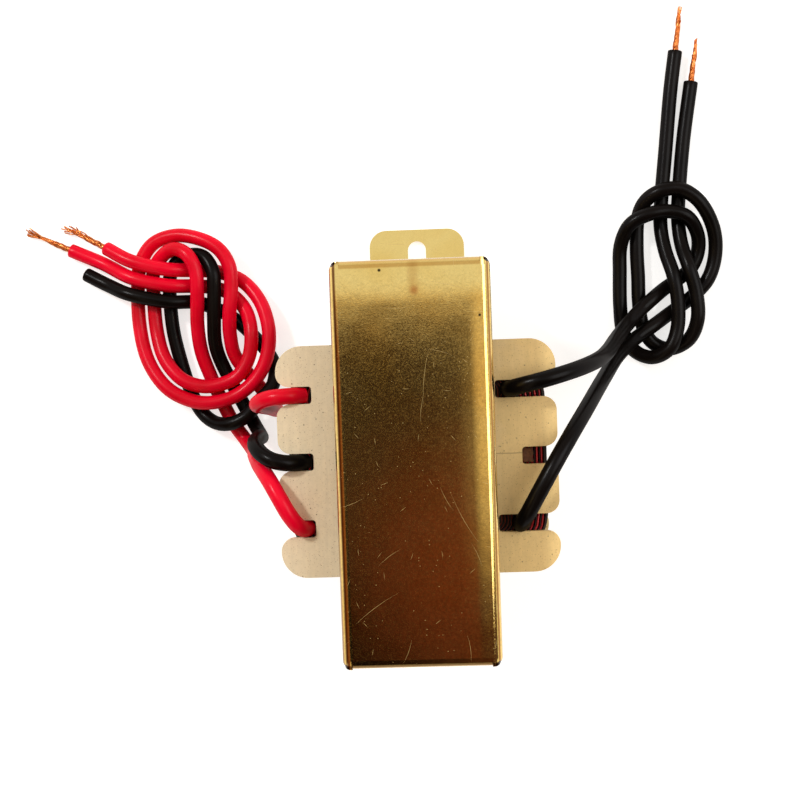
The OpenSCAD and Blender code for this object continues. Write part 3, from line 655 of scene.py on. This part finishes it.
# Each bare end as (its lead, length, fray, seed)
bare_ends = {
    "secondary_strands_top": ("secondary_lead_top", 9.5, 1.0, 3),
    "secondary_strands_bottom": ("secondary_lead_bottom", 9.5, 0.8, 5),
    "primary_strands_top": ("primary_lead_top", 7.5, 0.35, 8),
    "primary_strands_bottom": ("primary_lead_bottom", 7.5, 0.35, 13),
}
strands = {}
for node_name, (lead, length, fray, seed) in bare_ends.items():
    end = lines[lead][-1]
    way = (end - lines[lead][-2]).normalized()
    middle = bpy.data.curves.new("middle", "CURVE")
    middle.dimensions = "3D"
    spline = middle.splines.new("POLY")
    spline.points.add(1)
    for point, place_on in zip(spline.points, (end - way * INSIDE_LEAD, end + way * length * MM)):
        point.co = (*place_on, 1)
    strands[lead] = made_by_nodes(
        node_name + "_twist", bpy.data.objects.new("middle", middle), twisted, twisted_ids, {
            "Strands": 19, "Strand Radius": 0.11 * MM, "Bundle Radius": 0.52 * MM,
            "Tip Share": 0.35, "Twists": length / LAY_LENGTH, "Fray": fray * MM, "Seed": seed,
            "Material": copper})
    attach(strands[lead], ROOT)
    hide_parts(node_name)

for node_name, tube in tubes.items():
    line = lines[node_name]
    length = sum((b - a).length for a, b in zip(line, line[1:]))


# ---- Core -----------------------------------------------------------------------------------
# E and I stampings of silicon steel half a millimetre thick, put in from alternate ends and
# dipped in varnish. Mostly their cut edges show, each in a grey of its own, with a little rust.

SHEET_PITCH = 0.5 * MM
core_steel, tree, place = new_finish("varnished_silicon_steel_stampings")
# Grey steel under clear varnish, one shade to a sheet, stained with rust in patches of about 4 mm
apart = add(tree, "SeparateXYZ", [place])
sheet = add(tree, "Math", [apart.outputs["X"], 1 / SHEET_PITCH], operation="MULTIPLY")
sheet_number = add(tree, "Math", [sheet], operation="FLOOR")
each = add(tree, "TexWhiteNoise", {"W": sheet_number}, noise_dimensions="1D")
steel = add(
    tree, "ValToRGB", {"Fac": each}, ramp=[(0.0, "#4B4A4A"), (0.5, "#6A6866"), (1.0, "#8A8782")])
stain = add(tree, "TexNoise", {"Vector": place, "Scale": 260, "Detail": 5})
rust = add(tree, "MapRange", {
    "Value": stain, "From Min": 0.56, "From Max": 0.72, "To Min": 0, "To Max": 0.55})
rusted = add(tree, "Mix", {0: rust, 6: steel, 7: "#5E3A22"}, data_type="RGBA")
grain = add(tree, "TexNoise", {"Vector": place, "Scale": 3000, "Detail": 3})
bump = add(tree, "Bump", {"Height": grain, "Strength": 0.2, "Distance": 0.05 * MM})
metal_share = add(tree, "MapRange", {"Value": rust, "To Min": 0.85, "To Max": 0.3})
surface = add(tree, "BsdfPrincipled", {
    "Base Color": rusted, "Metallic": metal_share, "Roughness": 0.42, "Normal": bump,
    "Coat Weight": 0.25, "Coat Roughness": 0.25})
add(tree, "OutputMaterial", {"Surface": surface})
for node_name in ("e_laminations", "i_laminations"):
    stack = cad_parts[node_name]
    stack.data.materials.clear()
    stack.data.materials.append(core_steel)


# ---- Channel frame --------------------------------------------------------------------------
# One strip of thin steel, zinc plated and yellow passivated, folded down over the core with lips
# along both sides, feet turned out at the ends and tabs crimped under the core.

HALF_WIDTH, HALF_LENGTH = 11.66 * MM, 29.56 * MM
FOLD_BOTTOM = 48.1 * MM
LIP_BOTTOM = 45.2 * MM
CORNER_ROUND = 1.2 * MM
CORNER_GAP, GAP_EDGE, GAP_STARTS = 0.5 * MM, 0.18 * MM, (0.2 * MM, 0.5 * MM)
MERGE = 0.02 * MM
gold, tree, place = new_finish("yellow_passivated_zinc_on_rolled_steel")
# Thin bright plating over rolled sheet: a gold film that shifts a little in hue and is clouded
# over about 0.4 mm, an orange-peel grain of about 0.2 mm, hairline scratches from handling, pale
# pecks and a few dark pits
film = add(tree, "TexNoise", {"Vector": place, "Scale": 70, "Detail": 3})
film_colour = add(
    tree, "ValToRGB", {"Fac": film}, ramp=[(0.3, "#E2BE68"), (0.5, "#E9CB7A"), (0.7, "#E3BC66")])
cloud = add(tree, "TexNoise", {"Vector": place, "Scale": 2600, "Detail": 4, "Roughness": 0.65})
cloudy = add(tree, "MapRange", {
    "Value": cloud, "From Min": 0.3, "From Max": 0.7, "To Min": 0.76, "To Max": 1.16})
apart = add(tree, "SeparateXYZ", [place])
# The clouding thins out towards the far end, which was handled less
handled = add(tree, "MapRange", {
    "Value": apart.outputs["Y"], "From Min": 29 * MM, "From Max": 23 * MM, "To Min": 0.2,
    "To Max": 1})
mottled = add(tree, "Mix", {0: handled, 2: 0.97, 3: cloudy})
clouded = add(tree, "VectorMath", {0: film_colour, "Scale": mottled}, operation="SCALE")
# The marks are drawn on the face they lie in: X and Y on top, height and the run along the sides
facing = add(tree, "NewGeometry")
up = add(tree, "SeparateXYZ", [facing.outputs["Normal"]])
steep = add(tree, "Math", [up.outputs["Z"]], operation="ABSOLUTE")
on_top = add(tree, "Math", [steep, 0.7], operation="GREATER_THAN")
run = add(tree, "Math", [apart.outputs["X"], apart.outputs["Y"]])
top_place = add(tree, "CombineXYZ", {"X": apart.outputs["X"], "Y": apart.outputs["Y"]})
side_place = add(tree, "CombineXYZ", {"X": run, "Y": apart.outputs["Z"]})
face_place = add(tree, "Mix", {0: on_top, 4: side_place, 5: top_place}, data_type="VECTOR")
pecks = add(tree, "TexVoronoi", {"Vector": place, "Scale": 1300})
peck_size = add(tree, "Math", [pecks.outputs["Distance"], 0.075], operation="LESS_THAN")
peck_chosen = add(tree, "Math", [pecks.outputs["Color"], 0.5], operation="GREATER_THAN")
marks = add(tree, "Math", [peck_size, peck_chosen], operation="MULTIPLY")
# The hairlines, as (cell, half length, half width, bow, share of the cells)
for cell, half_length, half_width, bow, share in (
        (11, 4.5, 0.026, 18, 0.46), (7, 2.2, 0.024, 45, 0.42), (3.4, 0.6, 0.024, 90, 0.38)):
    # One hairline to a cell at most, at any angle, slightly bowed and drawn out to a point
    cells = add(
        tree, "TexVoronoi", {"Vector": face_place, "Scale": 1000 / cell}, voronoi_dimensions="2D")
    off = add(tree, "VectorMath", [face_place, cells.outputs["Position"]], operation="SUBTRACT")
    angle = add(tree, "Math", [cells.outputs["Color"], 40], operation="MULTIPLY")
    turned = add(tree, "VectorRotate", {"Vector": off, "Angle": angle}, rotation_type="Z_AXIS")
    along = add(tree, "SeparateXYZ", [turned])
    square = add(tree, "Math", [along.outputs["X"], along.outputs["X"]], operation="MULTIPLY")
    bowed = add(tree, "Math", [square, -bow, along.outputs["Y"]], operation="MULTIPLY_ADD")
    across = add(tree, "Math", [bowed], operation="ABSOLUTE")
    reach = add(tree, "Math", [along.outputs["X"]], operation="ABSOLUTE")
    width = add(tree, "Math", [
        reach, -half_width / half_length, half_width * MM], operation="MULTIPLY_ADD")
    inside = add(tree, "Math", [across, width], operation="LESS_THAN")
    kept = add(tree, "Math", [cells.outputs["Color"], share], operation="LESS_THAN")
    hairline = add(tree, "Math", [inside, kept], operation="MULTIPLY")
    marks = add(tree, "Math", [marks, hairline], operation="MAXIMUM")
plate_colour = add(tree, "Mix", {0: marks, 6: clouded, 7: "#C4A868"}, data_type="RGBA")
# A brown run that ends in a stain, and two pin-holes, near the far end of the top, as (place,
# length for its width, core, rim, colour, depth)
for spot, drawn_out, core, rim, colour, strength in (
        ((0.5, 27.6), 3.2, 0.3, 1.1, "#B98A45", 0.45), ((0.6, 25.1), 1, 0.2, 0.9, "#A8571F", 0.6),
        ((-4.3, 28.1), 1, 0.12, 0.3, "#1A1108", 1.0), ((9.9, 21.2), 1, 0.1, 0.28, "#1A1108", 1.0)):
    from_spot = add(
        tree, "VectorMath", [top_place, (spot[0] * MM, spot[1] * MM, 0)], operation="SUBTRACT")
    shortened = add(tree, "VectorMath", [from_spot, (1, 1 / drawn_out, 1)], operation="MULTIPLY")
    away = add(tree, "VectorMath", [shortened], operation="LENGTH")
    inked = add(tree, "MapRange", {
        "Value": away, "From Min": core * MM, "From Max": rim * MM, "To Min": strength,
        "To Max": 0})
    plate_colour = add(tree, "Mix", {0: inked, 6: plate_colour, 7: colour}, data_type="RGBA")
# The film cracked and browned where the sheet was bent, in stripes along the top's folds, partly
# painted reflection of the dim room and floor, as (axis, side, distance from the middle, core,
# rim, depth at the near end, at the far end, colour)
on_fold = add(tree, "Math", [apart.outputs["Z"], FOLD_BOTTOM], operation="GREATER_THAN")
for axis, side, middle, core, rim, near, far, colour in (
        ("X", -1, 10.93, 0.1, 0.3, 0.75, 0.9, "#5E2209"),
        ("X", -1, 11.66, 0.15, 0.5, 0.9, 0.25, "#7A4622"),
        ("X", 1, 11.2, 0.06, 0.2, 0.8, 0.8, "#7A3A14"),
        ("Y", -1, 29.2, 0.15, 0.35, 0.8, 0, "#4E1E0B"),
        ("Y", 1, 29.5, 0.15, 0.45, 0, 0.55, "#A07A4C")):
    out = add(tree, "Math", [apart.outputs[axis], side, -middle * MM], operation="MULTIPLY_ADD")
    away = add(tree, "Math", [out], operation="ABSOLUTE")
    depth = add(tree, "MapRange", {
        "Value": apart.outputs["Y"], "From Min": -HALF_LENGTH, "From Max": HALF_LENGTH,
        "To Min": near, "To Max": far})
    stripe = add(tree, "MapRange", {
        "Value": away, "From Min": core * MM, "From Max": rim * MM, "To Min": depth, "To Max": 0})
    browning_and_painted_reflection = add(tree, "Math", [stripe, on_fold], operation="MULTIPLY")
    plate_colour = add(tree, "Mix", {0: browning_and_painted_reflection, 6: plate_colour, 7: colour}, data_type="RGBA")
# Painted shade: the open gap at each corner, between the end of a lip and the fold at the top's
# end, is painted dark on the metal
past_corner = []
for axis, start in (("X", HALF_WIDTH - CORNER_ROUND), ("Y", HALF_LENGTH - CORNER_ROUND)):
    reach = add(tree, "Math", [apart.outputs[axis]], operation="ABSOLUTE")
    past_corner.append(add(tree, "Math", [reach, start], operation="SUBTRACT"))
corner_place = add(tree, "CombineXYZ", {"X": past_corner[0], "Y": past_corner[1]})
corner_reach = add(tree, "VectorMath", [corner_place], operation="LENGTH")
painted_gap_shade = add(tree, "MapRange", {
    "Value": corner_reach, "From Min": CORNER_ROUND - CORNER_GAP,
    "From Max": CORNER_ROUND - CORNER_GAP + GAP_EDGE})
beyond = [add(tree, "Math", [limit, least], operation="GREATER_THAN")
          for limit, least in zip(past_corner, GAP_STARTS)]
for limit in (*beyond, on_fold):
    painted_gap_shade = add(tree, "Math", [painted_gap_shade, limit], operation="MULTIPLY")
plate_colour = add(tree, "Mix", {0: painted_gap_shade, 6: plate_colour, 7: "#1E0D06"}, data_type="RGBA")
metal_share = add(tree, "MapRange", {"Value": marks, "To Min": 1.0, "To Max": 0.6})
# Dust in grains of about 0.2 mm takes a little off the shine
dust = add(tree, "TexNoise", {"Vector": place, "Scale": 4200, "Detail": 3})
dusty = add(tree, "MapRange", {
    "Value": dust, "From Min": 0.4, "From Max": 0.8, "To Min": 0.08, "To Max": 0.18})
gloss = add(tree, "Math", [marks, 0.3, dusty], operation="MULTIPLY_ADD")
# Rolling leaves the top slightly crowned: it falls away over the last millimetres to the folds, as
# (axis, side, start, steepness)
crown = 0.0
for axis, sign, start, steepness in (
        ("X", 1, 6, 9), ("X", 1, 8.3, 48), ("X", -1, 10, 100), ("Y", 1, 23, 7)):
    past = add(tree, "Math", [apart.outputs[axis], sign, -start * MM], operation="MULTIPLY_ADD")
    beyond = add(tree, "Math", [past, 0.0], operation="MAXIMUM")
    square = add(tree, "Math", [beyond, beyond], operation="MULTIPLY")
    crown = add(tree, "Math", [square, -steepness / 2, crown], operation="MULTIPLY_ADD")
grain = add(tree, "TexNoise", {"Vector": place, "Scale": 5200, "Detail": 3})
ripple = add(tree, "TexNoise", {"Vector": place, "Scale": 180, "Detail": 1})
crowned = add(tree, "Bump", {"Height": crown, "Strength": 1.0, "Distance": 1.0})
waves = add(tree, "Bump", {
    "Height": ripple, "Strength": 1.0, "Distance": 0.02 * MM, "Normal": crowned})
bump = add(tree, "Bump", {
    "Height": grain, "Strength": 1.0, "Distance": 0.0026 * MM, "Normal": waves})
surface = add(tree, "BsdfPrincipled", {
    "Base Color": plate_colour, "Metallic": metal_share, "Roughness": gloss, "Normal": bump})
add(tree, "OutputMaterial", {"Surface": surface})


def round_top_corners(shape):
    """Rounds the ends of the top's two lips, seen from above, as the press leaves them."""
    inner = Vector((HALF_WIDTH, HALF_LENGTH)) - Vector((CORNER_ROUND, CORNER_ROUND))
    for side in (-1, 1):
        for share in (0, 0.25, 0.5, 0.75):
            lips = [face for face in shape.faces if all(
                abs(v.co.x) > inner.x - MERGE / 2 and v.co.z > LIP_BOTTOM for v in face.verts)]
            edges = {edge for face in lips for edge in face.edges}
            verts = {vert for face in lips for vert in face.verts}
            bmesh.ops.bisect_plane(
                shape, geom=[*lips, *edges, *verts], dist=MERGE,
                plane_co=(0, side * (inner.y + share * CORNER_ROUND), 0), plane_no=(0, 1, 0))
    for vert in shape.verts:
        past = Vector((abs(vert.co.x), abs(vert.co.y))) - inner
        if vert.co.z > LIP_BOTTOM and past.x > 0 and 0 < past.y < 1.01 * CORNER_ROUND:
            past *= max(past) / past.length
            vert.co.x = math.copysign(inner.x + past.x, vert.co.x)
            vert.co.y = math.copysign(inner.y + past.y, vert.co.y)


pressing = softened_copy(
    "channel_frame", "channel_frame_pressing", 0.08 * MM, gold, reshape=round_top_corners)


# ---- Floor and light ------------------------------------------------------------------------
# A plain white light table in a bright tent. The tent is open above the camera's side, so the top
# plate mirrors a dim brown room there. Soft lights stand high on the far left and on the right.

# Opal plastic lit from below: white, even and almost without shine
opal = mottled_finish(
    "lit_opal_table", 6, 2, [(0.3, "#B9B8B6"), (0.7, "#BDBCBB")],
    {"Roughness": 0.75, "Specular IOR Level": 0.2, "Emission Color": "#FFFEFC",
     "Emission Strength": 0.72})
floor_mesh = bpy.data.meshes.new("table")
FLOOR_REACH, FLOOR_TOP = 4.0, -0.05 * MM
corners = [(x * FLOOR_REACH, y * FLOOR_REACH, FLOOR_TOP)
           for x, y in ((-1, -1), (1, -1), (1, 1), (-1, 1))]
floor_mesh.from_pydata(corners, [], [(0, 1, 2, 3)])
floor = link_piece("table", floor_mesh, opal)
floor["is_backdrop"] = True

world = bpy.data.worlds.new("bright_tent")
bpy.context.scene.world = world
world.use_nodes = True
tree = world.node_tree
tree.nodes.clear()
direction = add(tree, "TexCoord").outputs["Generated"]
towards = add(tree, "SeparateXYZ", [direction])
# Where each part of the tent, and of the room beyond it, sets in along one axis and is whole
sets_in = {}
for part, axis, edge, whole in (
        ("far cloth", "Y", 0.008, 0.07), ("cool cloth", "Y", 0.05, 0.085),
        ("warm wall", "Y", 0.25, 0.6), ("horizon", "Z", 0.3, 0.12), ("near side", "Y", -0.1, -0.2),
        ("right half", "X", -0.08, 0.05), ("wood", "X", -0.4, -0.55),
        ("right panel", "X", -0.02, 0.22), ("right panel's front", "Y", -0.2, -0.08),
        ("left panel", "X", -0.18, -0.25), ("left panel's end", "X", -0.52, -0.42)):
    sets_in[part] = add(tree, "MapRange", {
        "Value": towards.outputs[axis], "From Min": edge, "From Max": whole},
        interpolation_type="SMOOTHSTEP")
horizon = sets_in["horizon"]
# White cloth on the far side, panels on the right and left, and white all round the horizon
cloth = add(tree, "Math", [sets_in["far cloth"], horizon], operation="MAXIMUM")
for panel, bound, strength in (
        ("right panel", "right panel's front", 0.8), ("left panel", "left panel's end", 0.95)):
    lit = sets_in[panel]
    for factor in (sets_in[bound], strength):
        lit = add(tree, "Math", [lit, factor], operation="MULTIPLY")
    cloth = add(tree, "Math", [cloth, lit], operation="MAXIMUM")
# The room beyond is dim: reddish near the middle, dark towards the near side, wood on the left
near_dark = add(
    tree, "Mix", {0: sets_in["right half"], 6: "#0B0706", 7: "#4C2C22"}, data_type="RGBA")
dim = add(tree, "Mix", {0: sets_in["near side"], 6: "#382D24", 7: near_dark}, data_type="RGBA")
from_red = add(tree, "VectorMath", [direction, (0.01, -0.15, 0.99)], operation="DISTANCE")
reddish = add(tree, "MapRange", {
    "Value": from_red, "From Min": 0.13, "From Max": 0.02}, interpolation_type="SMOOTHSTEP")
panelled = add(tree, "Mix", {0: sets_in["wood"], 6: dim, 7: "#8C5636"}, data_type="RGBA")
room = add(tree, "Mix", {0: reddish, 6: panelled, 7: "#6C3626"}, data_type="RGBA")
# Low down on the far side the cloth gives way to a warm wall
above = add(tree, "Math", [1.0, horizon], operation="SUBTRACT")
wall = add(tree, "Math", [sets_in["warm wall"], above], operation="MULTIPLY")
cool = add(tree, "Math", [sets_in["cool cloth"], horizon], operation="MAXIMUM")
white_cloth = add(tree, "Mix", {0: cool, 6: "#F6DFBC", 7: "#F6F8FF"}, data_type="RGBA")
lining = add(tree, "Mix", {0: wall, 6: white_cloth, 7: "#D8C8BC"}, data_type="RGBA")
tent = add(tree, "Mix", {0: cloth, 6: room, 7: lining}, data_type="RGBA")
background = add(tree, "Background", {"Color": tent, "Strength": 1.06})
add(tree, "OutputWorld", {"Surface": background})

for name, place, side, watts in (("high_far_left_softbox", (-0.44, 0.38, 0.62), 0.1, 3.2),
                                 ("right_softbox", (0.5, 0.1, 0.55), 0.5, 2.5)):
    softbox_light = bpy.data.lights.new(name, "AREA")
    softbox_light.shape = "SQUARE"
    softbox_light.size = side
    softbox_light.energy = watts
    softbox = bpy.data.objects.new(name, softbox_light)
    softbox.location = place
    softbox.rotation_euler = (-softbox.location).to_track_quat("-Z", "Y").to_euler()
    bpy.context.scene.collection.objects.link(softbox)

bpy.context.scene.view_settings.view_transform = "Standard"

low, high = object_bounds()
